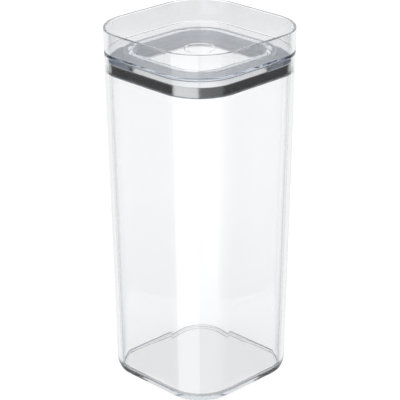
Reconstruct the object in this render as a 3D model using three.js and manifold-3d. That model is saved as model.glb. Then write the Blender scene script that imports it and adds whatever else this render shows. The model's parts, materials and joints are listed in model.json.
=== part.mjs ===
// Lidded storage canister: a tall, square, clear jar with rounded corners, a thin steel band
// lining its neck, and a clear lid. The lid is a shallow tray: a flat plate with a wall standing
// on its edge and a skirt hanging under it into the neck. Two grey rings run round the skirt: a
// plain collar close under the plate, and below it a lipped seal that wipes the steel band.
// Millimetres, +Z up, the foot on Z = 0, the axis of the jar on X = Y = 0 and the four flat
// sides facing +X, -X, +Y and -Y.

import * as THREE from 'three';
import { mergeVertices } from 'three/addons/utils/BufferGeometryUtils.js';
import Module from 'manifold-3d';

// ---- driving dimensions ------------------------------------------------------------------

const FIT = 0.3;                 // free space left between separate parts that touch

// jar
const FOOT_HALF = 45.2;          // half the width of the outer wall, carried down to Z = 0
const FOOT_RADIUS = 25.0;        // plan corner radius at the foot
const NECK_HALF = 49.0;          // half the width of the outer wall where the neck begins
const NECK_RADIUS = 28.2;        // plan corner radius there
const NECK_WALL = 1.0;           // the neck is rebated inside for the steel band
const JAR_WALL = 3.0;
const FLOOR_UNDER = 1.2;         // the floor stands this high on the foot rib
const FLOOR_TOP = 4.0;
const HEEL_RADIUS = 5.5;         // rounding between the outer wall and the floor
const RIB_WIDTH = 1.5;           // foot rib
const RIB_OUTER = 41.5;          // half width of the rib round the +X+Y and -X-Y corners
const RIB_JOG = 1.4;             // how much further in it runs round the other two corners
const JAR_TOP = 212.0;

// steel band, standing on the step of the rebate
const BAND_HALF = 46.9;
const BAND_BOTTOM = 201.3;
const BAND_TOP = 207.8;
const BAND_THICKNESS = 0.6;
const BAND_BEVEL = 0.2;

// lid
const LID_TOP = 228.0;
const LID_HALF_LOW = 49.45;
const LID_HALF_TOP = 50.0;
const LID_RADIUS_LOW = 28.9;
const LID_RADIUS_TOP = 30.4;
const LID_WALL = 1.8;
const PLATE_TOP = 213.7;
const PLATE_BOTTOM = 212.3;
const SKIRT_INNER = 33.5;        // half width inside the skirt, just under the plate
const SKIRT_OUTER = 36.8;
const SKIRT_CORNER = 15.3;       // half width less plan radius, the same on all of the skirt
const SKIRT_BOTTOM = 200.6;
const SKIRT_DRAFT = 0.3;
const MARK_RADIUS = 9.5;         // plain raised ring in the middle of the plate

// collar ring
const COLLAR_TOP = 212.0;
const COLLAR_BOTTOM = 208.4;
const COLLAR_HALF = 39.4;

// plug seal
const SEAL_TOP = 203.4;
const SEAL_BOTTOM = 200.9;
const SEAL_ROOT = 38.8;          // half width between its two lips
const UPPER_LIP_HALF = 45.5;
const LOWER_LIP_HALF = 45.8;
const LIP_THICKNESS = 0.6;

// ---- helpers -----------------------------------------------------------------------------

const CORNER_STEPS = 15;         // facets in each quarter-round corner

// One closed ring of a swept rounded square: half width, plan corner radius, height.
function station(half, radius, z) {
  return { half, radius: Math.min(Math.max(radius, 0), half), z };
}

// Sweeps a profile of stations round the axis. The lathe gives the closed grid of faces; each
// column is then moved from its circle to the matching point of the rounded square.
function sweep(stations) {
  const columns = 4 * (CORNER_STEPS + 1);
  const points = stations.map((s) => new THREE.Vector2(Math.max(s.half, 0), s.z));
  const geometry = new THREE.LatheGeometry(points, columns);
  const position = geometry.attributes.position;
  for (let i = 0; i <= columns; i += 1) {
    const column = i % columns;
    const corner = Math.floor(column / (CORNER_STEPS + 1));
    const step = column % (CORNER_STEPS + 1);
    const angle = (corner + step / CORNER_STEPS) * (Math.PI / 2);
    const diagonal = (corner + 0.5) * (Math.PI / 2);
    for (let j = 0; j < stations.length; j += 1) {
      const s = stations[j];
      const centre = (s.half - s.radius) * Math.SQRT2;
      const x = centre * Math.cos(diagonal) + s.radius * Math.cos(angle);
      const y = centre * Math.sin(diagonal) + s.radius * Math.sin(angle);
      position.setXYZ(i * stations.length + j, x, y, s.z);
    }
  }
  return geometry;
}

// Stations along an arc in the (half, z) plane; `radiusAt` gives the plan radius for a half.
function arc(centreHalf, centreZ, size, from, to, steps, radiusAt) {
  const list = [];
  for (let k = 0; k <= steps; k += 1) {
    const a = from + ((to - from) * k) / steps;
    const half = centreHalf + size * Math.cos(a);
    list.push(station(half, radiusAt(half), centreZ + size * Math.sin(a)));
  }
  return list;
}

const DEG = Math.PI / 180;

// ---- solids ------------------------------------------------------------------------------

const wasm = await Module();
wasm.setup();

function toSolid(geometry) {
  const bare = new THREE.BufferGeometry();
  bare.setAttribute('position', geometry.attributes.position);
  bare.setIndex(geometry.index);
  const merged = mergeVertices(bare, 1e-4);
  const index = merged.index.array;
  const p = merged.attributes.position.array;
  const kept = [];
  let volume = 0;
  for (let t = 0; t < index.length; t += 3) {
    const [a, b, c] = [index[t], index[t + 1], index[t + 2]];
    if (a !== b && b !== c && a !== c) {
      kept.push(a, b, c);
      const va = new THREE.Vector3().fromArray(p, 3 * a);
      const vb = new THREE.Vector3().fromArray(p, 3 * b);
      const vc = new THREE.Vector3().fromArray(p, 3 * c);
      volume += va.dot(vb.cross(vc));
    }
  }
  if (volume < 0) {
    kept.reverse();
  }
  const triVerts = new Uint32Array(kept);
  const vertProperties = new Float32Array(p);
  return new wasm.Manifold(new wasm.Mesh({ numProp: 3, vertProperties, triVerts }));
}

function toGeometry(solid) {
  const mesh = solid.getMesh();
  const geometry = new THREE.BufferGeometry();
  geometry.setAttribute('position', new THREE.BufferAttribute(mesh.vertProperties.slice(), 3));
  geometry.setIndex(new THREE.BufferAttribute(mesh.triVerts.slice(), 1));
  geometry.computeVertexNormals();
  return geometry;
}

// Half width and plan radius of the jar's outer wall at a height.
function jarHalf(z) {
  return FOOT_HALF + ((NECK_HALF - FOOT_HALF) * z) / BAND_BOTTOM;
}

function jarRadius(z) {
  return FOOT_RADIUS + ((NECK_RADIUS - FOOT_RADIUS) * z) / BAND_BOTTOM;
}

// Plan radius of everything that follows the inside of the neck.
function neckRadiusAt(half) {
  return NECK_RADIUS - (NECK_HALF - half);
}

function quadrant(signX, signY, past) {
  const size = 60;
  const box = new THREE.BoxGeometry(size + past, size + past, 4);
  const shift = (size - past) / 2;
  box.translate(signX * shift, signY * shift, 0);
  return toSolid(box);
}

// ---- jar body ----------------------------------------------------------------------------

function footRib(outer) {
  const radius = FOOT_RADIUS - (FOOT_HALF - outer);
  const inner = outer - RIB_WIDTH;
  const innerRadius = radius - RIB_WIDTH;
  const soft = 0.35;
  return toSolid(sweep([
    station(inner, innerRadius, FLOOR_UNDER + 0.4),
    station(inner, innerRadius, soft),
    station(inner + soft, innerRadius + soft, 0),
    station(outer - soft, radius - soft, 0),
    station(outer, radius, soft),
    station(outer, radius, FLOOR_UNDER + 0.4),
    station(inner, innerRadius, FLOOR_UNDER + 0.4),
  ]));
}

function makeJar() {
  const heelHalf = jarHalf(HEEL_RADIUS) - HEEL_RADIUS;
  const heelStart = -Math.asin((HEEL_RADIUS - FLOOR_UNDER) / HEEL_RADIUS);
  const footRadiusAt = (half) => FOOT_RADIUS - (FOOT_HALF - half);
  const innerAt = (z) => jarHalf(z) - JAR_WALL;
  const innerRadiusAt = (z) => jarRadius(z) - JAR_WALL;
  const fillet = 3.2;
  const step = BAND_BOTTOM - FIT;
  const rimHalf = jarHalf(JAR_TOP);
  const rimRadius = jarRadius(JAR_TOP);
  const rebate = NECK_HALF - NECK_WALL;
  const rebateRadius = neckRadiusAt(rebate);
  const body = toSolid(sweep([
    station(0, 0, FLOOR_UNDER),
    ...arc(heelHalf, HEEL_RADIUS, HEEL_RADIUS, heelStart, 0, 5, footRadiusAt),
    station(rimHalf, rimRadius, JAR_TOP - 0.5),
    station(rimHalf - 0.5, rimRadius - 0.5, JAR_TOP),
    station(rebate + 0.5, rebateRadius + 0.5, JAR_TOP),
    station(rebate, rebateRadius, JAR_TOP - 0.5),
    station(rebate, rebateRadius, step),
    station(innerAt(step), innerRadiusAt(step), step),
    station(innerAt(FLOOR_TOP + fillet), innerRadiusAt(FLOOR_TOP + fillet), FLOOR_TOP + fillet),
    ...arc(innerAt(FLOOR_TOP) - fillet, FLOOR_TOP + fillet, fillet, -20 * DEG, -90 * DEG, 4,
      (half) => innerRadiusAt(FLOOR_TOP) - (innerAt(FLOOR_TOP) - half)),
    station(0, 0, FLOOR_TOP),
  ]));
  const overlap = 0.75;
  const wideRib = footRib(RIB_OUTER);
  const narrowRib = footRib(RIB_OUTER - RIB_JOG);
  const wideCorners = quadrant(1, 1, overlap).add(quadrant(-1, -1, overlap));
  const narrowCorners = quadrant(1, -1, overlap).add(quadrant(-1, 1, overlap));
  return body
    .add(wideRib.intersect(wideCorners))
    .add(narrowRib.intersect(narrowCorners));
}

// ---- steel band --------------------------------------------------------------------------

function makeBand() {
  const outer = BAND_HALF;
  const inner = outer - BAND_THICKNESS;
  const ring = (half, z) => station(half, neckRadiusAt(half), z);
  return toSolid(sweep([
    ring(inner, BAND_BOTTOM),
    ring(outer, BAND_BOTTOM),
    ring(outer, BAND_TOP - BAND_BEVEL),
    ring(outer - BAND_BEVEL, BAND_TOP),
    ring(inner, BAND_TOP),
    ring(inner, BAND_BOTTOM),
  ]));
}

// ---- lid ---------------------------------------------------------------------------------

// A ring that runs round the skirt.
function skirtRing(half, z) {
  return station(half, half - SKIRT_CORNER, z);
}

function makeLid() {
  const innerLow = LID_HALF_LOW - LID_WALL;
  const innerLowRadius = LID_RADIUS_LOW - LID_WALL;
  const innerTop = LID_HALF_TOP - LID_WALL;
  const innerTopRadius = LID_RADIUS_TOP - LID_WALL;
  const skirtInnerLow = SKIRT_INNER + SKIRT_DRAFT;
  const skirtOuterLow = SKIRT_OUTER - SKIRT_DRAFT;
  const soft = 0.5;
  const cove = 0.5;
  const tray = toSolid(sweep([
    station(0, 0, PLATE_BOTTOM),
    skirtRing(SKIRT_INNER - soft, PLATE_BOTTOM),
    skirtRing(SKIRT_INNER, PLATE_BOTTOM - soft),
    skirtRing(skirtInnerLow, SKIRT_BOTTOM + soft),
    skirtRing(skirtInnerLow + soft, SKIRT_BOTTOM),
    skirtRing(skirtOuterLow - soft, SKIRT_BOTTOM),
    skirtRing(skirtOuterLow, SKIRT_BOTTOM + soft),
    skirtRing(SKIRT_OUTER, PLATE_BOTTOM),
    station(LID_HALF_LOW - 0.3, LID_RADIUS_LOW - 0.3, PLATE_BOTTOM),
    station(LID_HALF_LOW, LID_RADIUS_LOW, PLATE_BOTTOM + 0.3),
    station(LID_HALF_TOP, LID_RADIUS_TOP, LID_TOP - 0.5),
    station(LID_HALF_TOP - 0.45, LID_RADIUS_TOP - 0.45, LID_TOP),
    station(innerTop + 0.45, innerTopRadius + 0.45, LID_TOP),
    station(innerTop, innerTopRadius, LID_TOP - 0.5),
    ...arc(innerLow - cove, PLATE_TOP + cove, cove, 0, -90 * DEG, 3,
      (half) => innerLowRadius - (innerLow - half)),
    station(0, 0, PLATE_TOP),
  ]));
  const mark = new THREE.LatheGeometry([
    new THREE.Vector2(MARK_RADIUS - 0.8, -0.5),
    new THREE.Vector2(MARK_RADIUS, -0.5),
    new THREE.Vector2(MARK_RADIUS, 0.25),
    new THREE.Vector2(MARK_RADIUS - 0.25, 0.4),
    new THREE.Vector2(MARK_RADIUS - 0.55, 0.4),
    new THREE.Vector2(MARK_RADIUS - 0.8, 0.25),
    new THREE.Vector2(MARK_RADIUS - 0.8, -0.5),
  ], 48);
  mark.rotateX(Math.PI / 2);
  mark.translate(0, 0, PLATE_TOP);
  return tray.add(toSolid(mark));
}

// ---- collar and seal ---------------------------------------------------------------------

function makeCollar() {
  const inner = SKIRT_OUTER + FIT;
  return toSolid(sweep([
    skirtRing(inner, COLLAR_BOTTOM),
    skirtRing(COLLAR_HALF - 0.5, COLLAR_BOTTOM),
    skirtRing(COLLAR_HALF, COLLAR_BOTTOM + 0.5),
    skirtRing(COLLAR_HALF, COLLAR_TOP),
    skirtRing(inner, COLLAR_TOP),
    skirtRing(inner, COLLAR_BOTTOM),
  ]));
}

// The root follows the skirt; the lips follow the neck.
function makeSeal() {
  const inner = SKIRT_OUTER + FIT;
  const upperLip = SEAL_TOP - LIP_THICKNESS;
  const lowerLip = SEAL_BOTTOM + 0.4;
  const lip = (half, z) => station(half, neckRadiusAt(half), z);
  return toSolid(sweep([
    skirtRing(inner, SEAL_BOTTOM),
    skirtRing(inner, SEAL_TOP),
    lip(UPPER_LIP_HALF, SEAL_TOP),
    lip(UPPER_LIP_HALF, upperLip),
    skirtRing(SEAL_ROOT, upperLip - 0.2),
    skirtRing(SEAL_ROOT, lowerLip + LIP_THICKNESS + 0.2),
    lip(LOWER_LIP_HALF, lowerLip + LIP_THICKNESS),
    lip(LOWER_LIP_HALF, lowerLip),
    skirtRing(SEAL_ROOT, SEAL_BOTTOM),
    skirtRing(inner, SEAL_BOTTOM),
  ]));
}

// ---- assembly ----------------------------------------------------------------------------

function part(name, solid, material) {
  const mesh = new THREE.Mesh(toGeometry(solid), new THREE.MeshStandardMaterial(material));
  mesh.name = name;
  return mesh;
}

const clear = { color: 0xe9eef2, roughness: 0.06, metalness: 0, transparent: true, opacity: 0.35 };

const canister = new THREE.Group();
canister.name = 'square_canister';
canister.add(
  part('jar_body', makeJar(), clear),
  part('steel_band', makeBand(), { color: 0xa7aaae, roughness: 0.3, metalness: 1 }),
  part('lid_shell', makeLid(), clear),
  part('collar_ring', makeCollar(), { color: 0x9aa3b2, roughness: 0.6, metalness: 0 }),
  part('plug_seal', makeSeal(), { color: 0x9aa3b2, roughness: 0.6, metalness: 0 }),
);

export default canister;
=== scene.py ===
"""Looks of the lidded canister: a clear square jar, the steel band inside its neck, a clear
tray lid with a skirt under its plate, and the soft collar and lipped seal round that skirt.

Every piece is swept round the axis from a profile of (half width, height) points whose corners
are rounded by real fillets. Sizes are in millimetres here and turned into metres once, in
`sweep`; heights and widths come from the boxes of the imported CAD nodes.
"""

import json
import math

import bmesh
import bpy
from mathutils import Euler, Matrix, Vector


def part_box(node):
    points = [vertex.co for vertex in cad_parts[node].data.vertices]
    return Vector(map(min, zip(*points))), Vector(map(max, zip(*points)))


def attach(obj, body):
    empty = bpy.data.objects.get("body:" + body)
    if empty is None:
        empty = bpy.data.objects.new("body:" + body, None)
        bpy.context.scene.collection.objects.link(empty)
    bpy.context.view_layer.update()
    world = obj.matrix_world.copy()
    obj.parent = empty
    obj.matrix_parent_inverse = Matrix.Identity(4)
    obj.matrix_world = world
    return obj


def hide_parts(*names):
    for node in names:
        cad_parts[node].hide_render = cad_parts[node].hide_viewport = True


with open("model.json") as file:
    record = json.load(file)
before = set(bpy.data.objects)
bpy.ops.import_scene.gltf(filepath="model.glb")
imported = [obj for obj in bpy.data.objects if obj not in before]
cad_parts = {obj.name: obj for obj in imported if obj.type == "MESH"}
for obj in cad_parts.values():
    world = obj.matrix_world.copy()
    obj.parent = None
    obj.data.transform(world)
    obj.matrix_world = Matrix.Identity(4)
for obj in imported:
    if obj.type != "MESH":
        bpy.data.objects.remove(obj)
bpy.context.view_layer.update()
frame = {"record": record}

MM = 0.001


def node_box(node):
    """Lowest and highest corner of a CAD node, in millimetres."""
    low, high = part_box(node)
    return low / MM, high / MM


JAR_LOW, JAR_HIGH = node_box("jar_body")
BAND_LOW, BAND_HIGH = node_box("steel_band")
LID_LOW, LID_HIGH = node_box("lid_shell")
COLLAR_LOW, COLLAR_HIGH = node_box("collar_ring")
SEAL_LOW, SEAL_HIGH = node_box("plug_seal")
mounts = {mount["name"]: mount for mount in frame["record"]["mounts"]}
PLATE_TOP = mounts["lid_plate"]["pos_m"][2] / MM
PLATE_BOTTOM = COLLAR_HIGH.z + 0.3       # the CAD leaves this much room between touching parts

# plan shape: half width and corner radius of the jar's outer wall at the foot and at the rim
FOOT_HALF, FOOT_RADIUS = 45.2, 25.0
RIM_HALF, RIM_RADIUS = JAR_HIGH.x, 28.3
NECK_HALF, NECK_RADIUS = 49.0, 28.2      # the same where the neck begins; band and lips follow it
JAR_WALL, NECK_WALL = 3.0, 1.2
FLOOR_UNDER, FLOOR_TOP = 1.2, 4.0
BAND_THICKNESS = 0.6
LID_WALL, LID_FLARE = 1.8, 0.55
LID_RADIUS, LID_RADIUS_LOSS = 30.4, 1.5  # plan radius at the top of the lid, and its loss below
SKIRT_INNER, SKIRT_OUTER, SKIRT_DRAFT = 33.5, 36.8, 0.3
SKIRT_CORNER = 15.3                      # corner centres of the skirt, the collar and the seal
BLEND_HALF = 41.0                        # up to here the plate and the seal follow the skirt
MARK_INNER, MARK_OUTER, MARK_HEIGHT = 8.8, 9.5, 0.35
SKIN = 0.04                              # air left between pieces that touch

CORNER_STEPS, SIDE_STEPS, FILLET_STEPS = 26, 6, 6
CENTRE_HALF = 18                         # the innermost ring of a flat plate
LEAST_ROUND = 0.4                        # least plan radius, as a share of the half width


# ---- swept meshes --------------------------------------------------------------------------


def plan_ring(half, radius):
    """Points of a rounded square, anticlockwise, with subdivided flat sides."""
    radius = min(max(radius, 0.0), half)
    centre = half - radius
    points = []
    for corner in range(4):
        turn = corner * math.pi / 2
        cx = centre * (math.cos(turn) - math.sin(turn))
        cy = centre * (math.cos(turn) + math.sin(turn))
        for step in range(CORNER_STEPS + 1):
            a = turn + step / CORNER_STEPS * math.pi / 2
            points.append((cx + radius * math.cos(a), cy + radius * math.sin(a)))
        end = turn + math.pi / 2
        x0, y0 = points[-1]
        for step in range(1, SIDE_STEPS):
            run = 2 * centre * step / SIDE_STEPS
            points.append((x0 - math.sin(end) * run, y0 + math.cos(end) * run))
    return points


def neck_radius(half):
    """Plan corner radius of what follows the inside of the neck."""
    return NECK_RADIUS - (NECK_HALF - half)


def rounded(corners, closed):
    """Turns (half, z, fillet) corners into profile points, each fillet a true arc."""
    count = len(corners)
    points = []
    for i, (h, z, fillet) in enumerate(corners):
        here = Vector((h, z))
        if fillet <= 0 or (not closed and i in (0, count - 1)):
            points.append(here)
            continue
        before = Vector(corners[i - 1][:2]) - here
        after = Vector(corners[(i + 1) % count][:2]) - here
        half_angle = before.angle(after) / 2
        reach = fillet / math.tan(half_angle)
        back, on = before.normalized(), after.normalized()
        centre = here + (back + on).normalized() * (fillet / math.sin(half_angle))
        start, end = here + back * reach - centre, here + on * reach - centre
        turned = start.angle(end)
        for k in range(FILLET_STEPS + 1):
            t = k / FILLET_STEPS
            blend = math.sin((1 - t) * turned) * start + math.sin(t * turned) * end
            points.append(centre + blend / math.sin(turned))
    return points


def sweep(name, corners, radius_at, closed=False):
    """A closed mesh: the profile carried round the rounded square that radius_at gives."""
    profile = rounded(corners, closed)
    bm = bmesh.new()
    rings = []
    for point in profile:
        half, z = point.x, point.y
        if half < 1e-6:
            rings.append([bm.verts.new((0, 0, z * MM))])
        else:
            radius = max(radius_at(half, z), LEAST_ROUND * half)
            rings.append([bm.verts.new((x * MM, y * MM, z * MM))
                          for x, y in plan_ring(half, radius)])
    pairs = list(zip(rings, rings[1:]))
    if closed:
        pairs.append((rings[-1], rings[0]))
    for low, high in pairs:
        size = max(len(low), len(high))
        for i in range(size):
            j = (i + 1) % size
            loop = [low[i % len(low)], low[j % len(low)], high[j % len(high)], high[i % len(high)]]
            bm.faces.new(list(dict.fromkeys(loop)))
    bmesh.ops.recalc_face_normals(bm, faces=bm.faces)
    return mesh_object(name, bm)


def mesh_object(name, bm):
    """Turns the bmesh into a smooth-shaded object with face-weighted normals."""
    mesh = bpy.data.meshes.new(name)
    bm.to_mesh(mesh)
    bm.free()
    for polygon in mesh.polygons:
        polygon.use_smooth = True
    obj = bpy.data.objects.new(name, mesh)
    bpy.context.scene.collection.objects.link(obj)
    weighted = obj.modifiers.new("face_weighted_normals", "WEIGHTED_NORMAL")
    weighted.weight = 100
    weighted.keep_sharp = False
    return obj


# ---- jar -----------------------------------------------------------------------------------


def jar_half(z):
    return FOOT_HALF + (RIM_HALF - FOOT_HALF) * z / JAR_HIGH.z


def jar_radius(half, z):
    outer = FOOT_RADIUS + (RIM_RADIUS - FOOT_RADIUS) * z / JAR_HIGH.z
    return outer - (jar_half(z) - half)


def make_jar():
    """Tapered walls and a floor; the neck is rebated inside, which leaves a step for the band."""
    heel, heel_inset, heel_fillet, floor_fillet = 5.5, 1.6, 4.2, 3.2
    centre_half = 20
    top = JAR_HIGH.z
    step = BAND_LOW.z - SKIN
    rebate = RIM_HALF - NECK_WALL
    return sweep("jar", [
        (0, FLOOR_UNDER, 0),
        (centre_half, FLOOR_UNDER, 0),
        (jar_half(FLOOR_UNDER) - heel_inset, FLOOR_UNDER, 1.2),
        (jar_half(heel), heel, heel_fillet),
        (RIM_HALF, top, 0.3),
        (rebate, top, 0.3),
        (rebate, step, 0.1),
        (jar_half(step) - JAR_WALL, step, 0.1),
        (jar_half(FLOOR_TOP) - JAR_WALL, FLOOR_TOP, floor_fillet),
        (centre_half, FLOOR_TOP, 0),
        (0, FLOOR_TOP, 0),
    ], jar_radius)


def make_foot_rib():
    """The rib the jar stands on: it steps inwards halfway along each side."""
    rib_outer, jog, width, soft = 41.5, 1.4, 1.5, 0.3
    root = FLOOR_UNDER + 0.05            # reaches just into the floor
    bm = bmesh.new()
    profile = [(0, root), (0, soft), (soft, 0), (width - soft, 0), (width, soft), (width, root)]
    rings = []
    for inset, z in profile:
        ring = []
        wide = plan_ring(rib_outer - inset, jar_radius(rib_outer - inset, 0))
        narrow = plan_ring(rib_outer - jog - inset, jar_radius(rib_outer - jog - inset, 0))
        for w, n in zip(wide, narrow):
            x, y = w if w[0] * w[1] > 0 else n
            ring.append(bm.verts.new((x * MM, y * MM, z * MM)))
        rings.append(ring)
    for low, high in zip(rings, rings[1:] + rings[:1]):
        for i in range(len(low)):
            j = (i + 1) % len(low)
            bm.faces.new((low[i], low[j], high[j], high[i]))
    bmesh.ops.recalc_face_normals(bm, faces=bm.faces)
    return mesh_object("foot_rib", bm)


def make_band():
    """A thin upright strip with softened edges; its inner faces take the second material, a lighter
    bluish copy of the steel that paints in the light rough steel would gather there.
    """
    outer, inner = BAND_HIGH.x, BAND_HIGH.x - BAND_THICKNESS
    low, high = BAND_LOW.z, BAND_HIGH.z
    obj = sweep("band", [
        (inner, low, 0.12),
        (outer, low, 0.12),
        (outer, high, 0.2),
        (inner, high, 0.2),
    ], lambda half, z: neck_radius(half), closed=True)
    for polygon in obj.data.polygons:
        inward = polygon.normal.x * polygon.center.x + polygon.normal.y * polygon.center.y < 0
        polygon.material_index = 1 if inward else 0
    return obj


# ---- lid -----------------------------------------------------------------------------------


def lid_half(z):
    return LID_HIGH.x - LID_FLARE * (LID_HIGH.z - z) / (LID_HIGH.z - PLATE_BOTTOM)


def lid_radius(half, z):
    outer = LID_RADIUS - LID_RADIUS_LOSS * (LID_HIGH.z - z) / (LID_HIGH.z - PLATE_BOTTOM)
    return outer - (lid_half(z) - half)


def skirt_plan(half, z):
    return half - SKIRT_CORNER


def blended(half, outer, radius):
    """Plan radius that goes from the skirt's at BLEND_HALF over to the given one at outer."""
    share = min(max((half - BLEND_HALF) / (outer - BLEND_HALF), 0), 1)
    return (half - SKIRT_CORNER) * (1 - share) + radius * share


def lid_plan(half, z):
    """The skirt and the tray wall have their own corner centres; the plate blends them."""
    return blended(half, 47.0, lid_radius(half, max(z, PLATE_BOTTOM)))


def make_lid():
    """A flat plate with the tray wall on its edge and the open skirt under it."""
    low, top = LID_LOW.z, LID_HIGH.z
    return sweep("lid", [
        (0, PLATE_BOTTOM, 0),
        (CENTRE_HALF, PLATE_BOTTOM, 0),
        (SKIRT_INNER, PLATE_BOTTOM, 0.5),
        (SKIRT_INNER + SKIRT_DRAFT, low, 0.5),
        (SKIRT_OUTER - SKIRT_DRAFT, low, 0.5),
        (SKIRT_OUTER, PLATE_BOTTOM, 0.4),
        (lid_half(PLATE_BOTTOM), PLATE_BOTTOM, 0.35),
        (lid_half(top), top, 0.6),
        (lid_half(top) - LID_WALL, top, 0.6),
        (lid_half(PLATE_TOP) - LID_WALL, PLATE_TOP, 0.35),
        (CENTRE_HALF, PLATE_TOP, 0),
        (0, PLATE_TOP, 0),
    ], lid_plan)


def make_mark():
    """Plain round raised ring moulded in the middle of the plate."""
    low, high, fillet = PLATE_TOP + 0.01, PLATE_TOP + MARK_HEIGHT, 0.12
    return sweep("plate_ring", [
        (MARK_INNER, low, 0),
        (MARK_OUTER, low, 0),
        (MARK_OUTER, high, fillet),
        (MARK_INNER, high, fillet),
    ], lambda half, z: half, closed=True)


def make_collar():
    """Soft ring round the top of the skirt, close under the plate."""
    inner, low, high = SKIRT_OUTER + SKIN, COLLAR_LOW.z, PLATE_BOTTOM - SKIN
    return sweep("collar", [
        (inner, low, 0.3),
        (COLLAR_HIGH.x, low, 0.6),
        (COLLAR_HIGH.x, high, 0.3),
        (inner, high, 0.3),
    ], skirt_plan, closed=True)


def seal_plan(half, z):
    """The root of the seal follows the skirt, and the tips of its lips follow the neck."""
    return blended(half, SEAL_HIGH.x, neck_radius(half))


def make_seal():
    """Soft ring low on the skirt, with two lips that face the band."""
    low, high, lip = SEAL_LOW.z, SEAL_HIGH.z, SEAL_HIGH.x
    inner, root, thick = SKIRT_OUTER + SKIN, 38.8, 0.6
    return sweep("seal", [
        (inner, low, 0.1),
        (inner, high, 0.1),
        (lip - 0.3, high, 0.25),
        (lip - 0.3, high - thick, 0.2),
        (root, high - thick - 0.2, 0.2),
        (root, low + thick + 0.6, 0.2),
        (lip, low + thick + 0.4, 0.2),
        (lip, low + 0.4, 0.2),
        (root, low, 0.2),
    ], seal_plan, closed=True)


# ---- materials -----------------------------------------------------------------------------


def material(name):
    """A new node material, with its nodes, its links and its main shader."""
    made = bpy.data.materials.new(name)
    made.use_nodes = True
    return made, made.node_tree.nodes, made.node_tree.links, made.node_tree.nodes["Principled BSDF"]


def noise(nodes, links, scale, detail, stretch=(1, 1, 1)):
    """Noise fixed to the object, stretched along its axes."""
    coords = nodes.new("ShaderNodeTexCoord")
    mapping = nodes.new("ShaderNodeMapping")
    mapping.inputs["Scale"].default_value = stretch
    texture = nodes.new("ShaderNodeTexNoise")
    texture.inputs["Scale"].default_value = scale
    texture.inputs["Detail"].default_value = detail
    links.new(coords.outputs["Object"], mapping.inputs["Vector"])
    links.new(mapping.outputs["Vector"], texture.inputs["Vector"])
    return texture


def add_bump(nodes, links, shader, height, strength, distance):
    bump = nodes.new("ShaderNodeBump")
    bump.inputs["Strength"].default_value = strength
    bump.inputs["Distance"].default_value = distance
    links.new(height, bump.inputs["Height"])
    links.new(bump.outputs["Normal"], shader.inputs["Normal"])


def map_range(nodes, links, value, low, high, span=(0.3, 0.7), interpolation="LINEAR"):
    """Carries the value from the span over to low..high."""
    node = nodes.new("ShaderNodeMapRange")
    node.interpolation_type = interpolation
    node.inputs["From Min"].default_value = span[0]
    node.inputs["From Max"].default_value = span[1]
    node.inputs["To Min"].default_value = low
    node.inputs["To Max"].default_value = high
    links.new(value, node.inputs["Value"])
    return node.outputs["Result"]


def clear_plastic(name, tint, absorb, density):
    """Polished clear moulding, a little hazy and wavy, that tints light passing through it."""
    made, nodes, links, shader = material(name)
    shader.inputs["Base Color"].default_value = (*tint, 1)
    shader.inputs["Transmission Weight"].default_value = 1.0
    shader.inputs["IOR"].default_value = 1.52
    haze = noise(nodes, links, 38.0, 4.0, (1, 1, 0.25))
    links.new(map_range(nodes, links, haze.outputs["Fac"], 0.0, 0.035), shader.inputs["Roughness"])
    waves = noise(nodes, links, 14.0, 1.0, (1, 1, 0.3))
    add_bump(nodes, links, shader, waves.outputs["Fac"], 0.04, 0.001)
    volume = nodes.new("ShaderNodeVolumeAbsorption")
    volume.inputs["Color"].default_value = (*absorb, 1)
    volume.inputs["Density"].default_value = density
    links.new(volume.outputs["Volume"], nodes["Material Output"].inputs["Volume"])
    return made


def brushed_steel(name, colour, metallic, smoothest, roughest):
    """Steel with a fine grain along the band."""
    made, nodes, links, shader = material(name)
    shader.inputs["Base Color"].default_value = (*colour, 1)
    shader.inputs["Metallic"].default_value = metallic
    grain = noise(nodes, links, 60.0, 5.0, (1, 1, 60))
    roughness = map_range(nodes, links, grain.outputs["Fac"], smoothest, roughest)
    links.new(roughness, shader.inputs["Roughness"])
    shader.inputs["Anisotropic"].default_value = 0.3
    add_bump(nodes, links, shader, grain.outputs["Fac"], 0.06, 0.0002)
    return made


def silicone():
    """Matt grey silicone that lets some light through."""
    made, nodes, links, shader = material("grey_silicone")
    shader.inputs["Base Color"].default_value = (0.74, 0.79, 0.87, 1)
    shader.inputs["Transmission Weight"].default_value = 0.55
    shader.inputs["IOR"].default_value = 1.41
    grain = noise(nodes, links, 900.0, 3.0)
    links.new(map_range(nodes, links, grain.outputs["Fac"], 0.30, 0.45), shader.inputs["Roughness"])
    add_bump(nodes, links, shader, grain.outputs["Fac"], 0.15, 0.0001)
    return made


def seen_in_reflections(nodes, links, direct, mirrored):
    """One shader for rays that come straight or through clear walls, another for mirrored rays."""
    path = nodes.new("ShaderNodeLightPath")
    mirrored_once = nodes.new("ShaderNodeMath")
    mirrored_once.operation = "MINIMUM"
    mirrored_once.inputs[1].default_value = 1.0
    mix = nodes.new("ShaderNodeMixShader")
    links.new(path.outputs["Glossy Depth"], mirrored_once.inputs[0])
    links.new(mirrored_once.outputs["Value"], mix.inputs["Fac"])
    links.new(direct, mix.inputs[1])
    links.new(mirrored, mix.inputs[2])
    links.new(mix.outputs["Shader"], nodes["Material Output"].inputs["Surface"])


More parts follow.
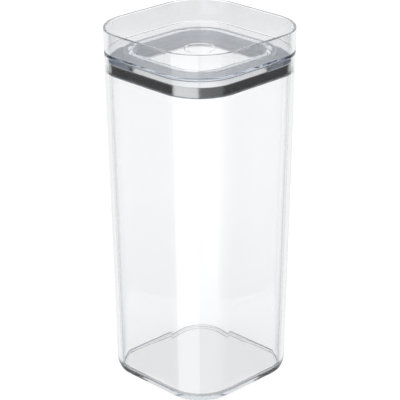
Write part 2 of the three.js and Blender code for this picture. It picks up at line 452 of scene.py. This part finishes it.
def floor_paper(name, mirrored):
    """Pale paper lit from below as well, so the canister throws hardly any shadow on it.

    The camera sees an even glow; rays that went through clear parts see it a little dimmer right
    under the canister, a painted shadow, and much dimmer far behind it, painted shade that darkens
    the clear parts.
    Mirrored rays see a plain glow of strength `mirrored`, or nothing at all where that is 0.
    """
    made, nodes, links, shader = material(name)
    shader.inputs["Base Color"].default_value = (0.30, 0.30, 0.30, 1)
    shader.inputs["Emission Color"].default_value = (1, 1, 1, 1)
    shader.inputs["Specular IOR Level"].default_value = 0.1
    grain = noise(nodes, links, 400.0, 3.0)
    links.new(map_range(nodes, links, grain.outputs["Fac"], 0.75, 0.9), shader.inputs["Roughness"])
    coords = nodes.new("ShaderNodeTexCoord")
    distance = nodes.new("ShaderNodeVectorMath")
    distance.operation = "LENGTH"
    links.new(coords.outputs["Object"], distance.inputs[0])
    away = distance.outputs["Value"]
    # painted shade far behind the canister and painted shadow right under it, for rays that went
    # through clear parts
    painted_far_shade = map_range(nodes, links, away, FLOOR_GLOW, PAINTED_SHADE_FAR_GLOW, PAINTED_SHADE_SPAN, "SMOOTHSTEP")
    close = map_range(nodes, links, away, PAINTED_SHADOW_SHARE, 1.0, PAINTED_SHADOW_SPAN)
    shaded = nodes.new("ShaderNodeMath")
    shaded.operation = "MULTIPLY"
    links.new(painted_far_shade, shaded.inputs[0])
    links.new(close, shaded.inputs[1])
    path = nodes.new("ShaderNodeLightPath")
    direct = nodes.new("ShaderNodeMix")
    direct.data_type = "FLOAT"
    direct.inputs["B"].default_value = CAMERA_GLOW
    links.new(path.outputs["Is Camera Ray"], direct.inputs["Factor"])
    links.new(shaded.outputs["Value"], direct.inputs["A"])
    links.new(direct.outputs["Result"], shader.inputs["Emission Strength"])
    if mirrored > 0:
        plain = nodes.new("ShaderNodeEmission")
        plain.inputs["Strength"].default_value = mirrored
        seen_in_reflections(nodes, links, shader.outputs["BSDF"], plain.outputs["Emission"])
    else:
        clear = nodes.new("ShaderNodeBsdfTransparent")
        seen_in_reflections(nodes, links, shader.outputs["BSDF"], clear.outputs["BSDF"])
    return made


# ---- object --------------------------------------------------------------------------------

CLEAR_JAR = clear_plastic("clear_jar_plastic", (0.985, 0.988, 0.993), (0.82, 0.85, 0.88), 14.0)
CLEAR_LID = clear_plastic("clear_lid_plastic", (0.985, 0.988, 0.994), (0.80, 0.85, 0.91), 18.0)
STEEL = brushed_steel("brushed_steel", (0.60, 0.60, 0.61), 1.0, 0.13, 0.24)
# painted light: the band's inner faces get a lighter, bluish, mostly diffuse copy of the steel,
# standing in for the light that rough steel would gather inside the neck
STEEL_INSIDE_PAINTED_LIGHT = brushed_steel("steel_inside_painted_light", (0.72, 0.80, 0.91), 0.2, 0.45, 0.60)
SILICONE = silicone()


def place(obj, body, nodes, finish):
    """Gives a piece its finish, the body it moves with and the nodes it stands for."""
    obj.data.materials.append(finish)
    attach(obj, body)
    if nodes:
        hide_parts(*nodes)


place(make_jar(), "jar", ["jar_body"], CLEAR_JAR)
place(make_foot_rib(), "jar", [], CLEAR_JAR)
band = make_band()
place(band, "jar", ["steel_band"], STEEL)
band.data.materials.append(STEEL_INSIDE_PAINTED_LIGHT)
place(make_lid(), "lid", ["lid_shell"], CLEAR_LID)
place(make_mark(), "lid", [], CLEAR_LID)
place(make_collar(), "lid", ["collar_ring"], SILICONE)
place(make_seal(), "lid", ["plug_seal"], SILICONE)


# ---- studio --------------------------------------------------------------------------------

CAMERA_TURN = math.radians(-44.68)       # direction from the axis towards the camera, in plan
CAMERA_REACH, CAMERA_HEIGHT = 1.0251, 0.5424
CAMERA_PITCH, CAMERA_ROLL = math.radians(22.65), -0.0038

# glow of the floor: as the camera sees it, and as clear parts show it, where it is a little less
# right under the canister (a painted shadow) and much less far behind it (painted shade); spans are
# metres from the axis
CAMERA_GLOW, FLOOR_GLOW, PAINTED_SHADE_FAR_GLOW, PAINTED_SHADOW_SHARE = 0.85, 0.87, 0.50, 0.95
PAINTED_SHADOW_SPAN, PAINTED_SHADE_SPAN = (0.04, 0.30), (0.52, 0.78)
# painted shade: the patch under the foot glows dimmer for mirrored rays than the floor does for the
# camera
PATCH_PAINTED_SHADE_GLOW = 0.55                        # what mirrored rays see of the patch under the foot

CARD_REACH = 1.4                         # distance of the cards from the axis
ROWS = (-2.0, -0.08, 2.0)                # heights of the two rows of cards
# name, turns from the camera, brightness in each row
CARDS = [
    ("softbox_left", (-68, -3), (1.14, 0.90)),
    ("flag_right", (-3, 60), (0.20, 0.75)),
    ("flag_right_far", (60, 125), (0.06, 0.75)),
    ("flag_left_far", (-125, -68), (0.06, 0.75)),
    ("backdrop", (125, 235), (0.92, 0.98)),
]
BOUNCES = 64                             # light is guided a long way inside the clear edges


def make_camera():
    data = bpy.data.cameras.new("camera")
    data.sensor_width = 36.0
    data.lens = 160.2
    data.shift_x = -0.0008
    data.clip_end = 50
    obj = bpy.data.objects.new("camera", data)
    bpy.context.scene.collection.objects.link(obj)
    obj.location = (CAMERA_REACH * math.cos(CAMERA_TURN), CAMERA_REACH * math.sin(CAMERA_TURN),
                    CAMERA_HEIGHT)
    facing = Euler((math.pi / 2 - CAMERA_PITCH, 0, CAMERA_TURN + math.pi / 2), "XYZ")
    roll = Euler((0, 0, CAMERA_ROLL), "XYZ")
    obj.rotation_euler = (facing.to_matrix() @ roll.to_matrix()).to_euler("XYZ")
    bpy.context.scene.camera = obj


def emitter(name, strength):
    """A glow that only mirrored rays see."""
    made = bpy.data.materials.new(name)
    made.use_nodes = True
    nodes, links = made.node_tree.nodes, made.node_tree.links
    nodes.remove(nodes["Principled BSDF"])
    glow = nodes.new("ShaderNodeEmission")
    glow.inputs["Color"].default_value = (1, 1, 1, 1)
    glow.inputs["Strength"].default_value = strength
    clear = nodes.new("ShaderNodeBsdfTransparent")
    seen_in_reflections(nodes, links, clear.outputs["BSDF"], glow.outputs["Emission"])
    return made


def card(name, turns, heights, finish):
    """A curved studio card round the object. Turns are degrees from the camera, + to its right."""
    bm = bmesh.new()
    steps = 24
    columns = []
    for k in range(steps + 1):
        turn = CAMERA_TURN + math.radians(turns[0] + (turns[1] - turns[0]) * k / steps)
        x, y = CARD_REACH * math.cos(turn), CARD_REACH * math.sin(turn)
        columns.append([bm.verts.new((x, y, z)) for z in heights])
    for a, b in zip(columns, columns[1:]):
        bm.faces.new((a[0], b[0], b[1], a[1]))
    mesh = bpy.data.meshes.new(name)
    bm.to_mesh(mesh)
    bm.free()
    mesh.materials.append(finish)
    obj = bpy.data.objects.new(name, mesh)
    bpy.context.scene.collection.objects.link(obj)
    obj.visible_camera = False
    obj.visible_diffuse = False
    obj.visible_shadow = False


def make_floor():
    """A wide disc, with a patch under the canister that mirrored rays see too."""
    patch, wide, segments = 0.056, 6.0, 96
    bm = bmesh.new()
    centre = bm.verts.new((0, 0, 0))
    angles = [2 * math.pi * k / segments for k in range(segments)]
    rings = [[bm.verts.new((r * math.cos(a), r * math.sin(a), 0)) for a in angles]
             for r in (patch, wide)]
    for k in range(segments):
        n = (k + 1) % segments
        bm.faces.new((centre, rings[0][k], rings[0][n]))
        bm.faces.new((rings[0][k], rings[1][k], rings[1][n], rings[0][n])).material_index = 1
    mesh = bpy.data.meshes.new("floor")
    bm.to_mesh(mesh)
    bm.free()
    mesh.materials.append(floor_paper("floor_paper_near", PATCH_PAINTED_SHADE_GLOW))
    mesh.materials.append(floor_paper("floor_paper", 0.0))
    obj = bpy.data.objects.new("floor", mesh)
    bpy.context.scene.collection.objects.link(obj)


def make_world():
    world = bpy.data.worlds.new("studio")
    bpy.context.scene.world = world
    world.use_nodes = True
    background = world.node_tree.nodes["Background"]
    background.inputs["Color"].default_value = (1, 1, 1, 1)
    background.inputs["Strength"].default_value = 1.10


make_camera()
make_world()
make_floor()
for name, turns, levels in CARDS:
    for row, level in enumerate(levels):
        card(f"{name}_{row}", turns, ROWS[row:row + 2], emitter(f"{name}_{row}", level))

scene = bpy.context.scene
scene.view_settings.view_transform = "Standard"
scene.cycles.max_bounces = BOUNCES
scene.cycles.transmission_bounces = BOUNCES
scene.cycles.glossy_bounces = BOUNCES
